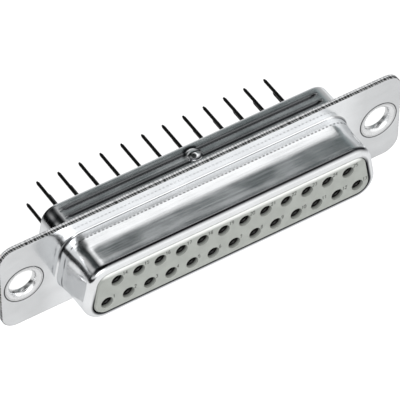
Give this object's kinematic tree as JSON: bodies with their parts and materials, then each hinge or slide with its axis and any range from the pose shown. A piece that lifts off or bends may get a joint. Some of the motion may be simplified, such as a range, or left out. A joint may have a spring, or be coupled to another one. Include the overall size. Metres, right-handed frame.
{
  "type": "d-sub socket connector",
  "caption": "D-subminiature socket connector with two drawn metal shells riveted at the ears, a split insulator, slit socket contacts in two staggered rows, and straight board tails.",
  "frame": {"origin": "middle of the flange's front face, on the line between the two mounting holes", "axes": "+X along the connector, -Y out of the mating face, +Z towards the narrow contact row"},
  "size_m": [0.053, 0.0174, 0.0122],
  "materials": {
    "tin_shell": "bright tin plate over drawn steel",
    "insulator": "light grey glass-filled thermoplastic",
    "contact_metal": "machined copper alloy, plated dull grey",
    "rivet_metal": "tin-plated hollow rivet"
  },
  "bodies": {
    "root": {"front_shell": "tin_shell", "rear_shell": "tin_shell", "front_insulator": "insulator", "rear_insulator": "insulator", "contact_01": "contact_metal", "contact_02": "contact_metal", "contact_03": "contact_metal", "contact_04": "contact_metal", "contact_05": "contact_metal", "contact_06": "contact_metal", "contact_07": "contact_metal", "contact_08": "contact_metal", "contact_09": "contact_metal", "contact_10": "contact_metal", "contact_11": "contact_metal", "contact_12": "contact_metal", "contact_13": "contact_metal", "contact_14": "contact_metal", "contact_15": "contact_metal", "contact_16": "contact_metal", "contact_17": "contact_metal", "contact_18": "contact_metal", "contact_19": "contact_metal", "contact_20": "contact_metal", "contact_21": "contact_metal", "contact_22": "contact_metal", "contact_23": "contact_metal", "contact_24": "contact_metal", "contact_25": "contact_metal", "rivet_left": "rivet_metal", "rivet_right": "rivet_metal"}
  },
  "joints": []
}
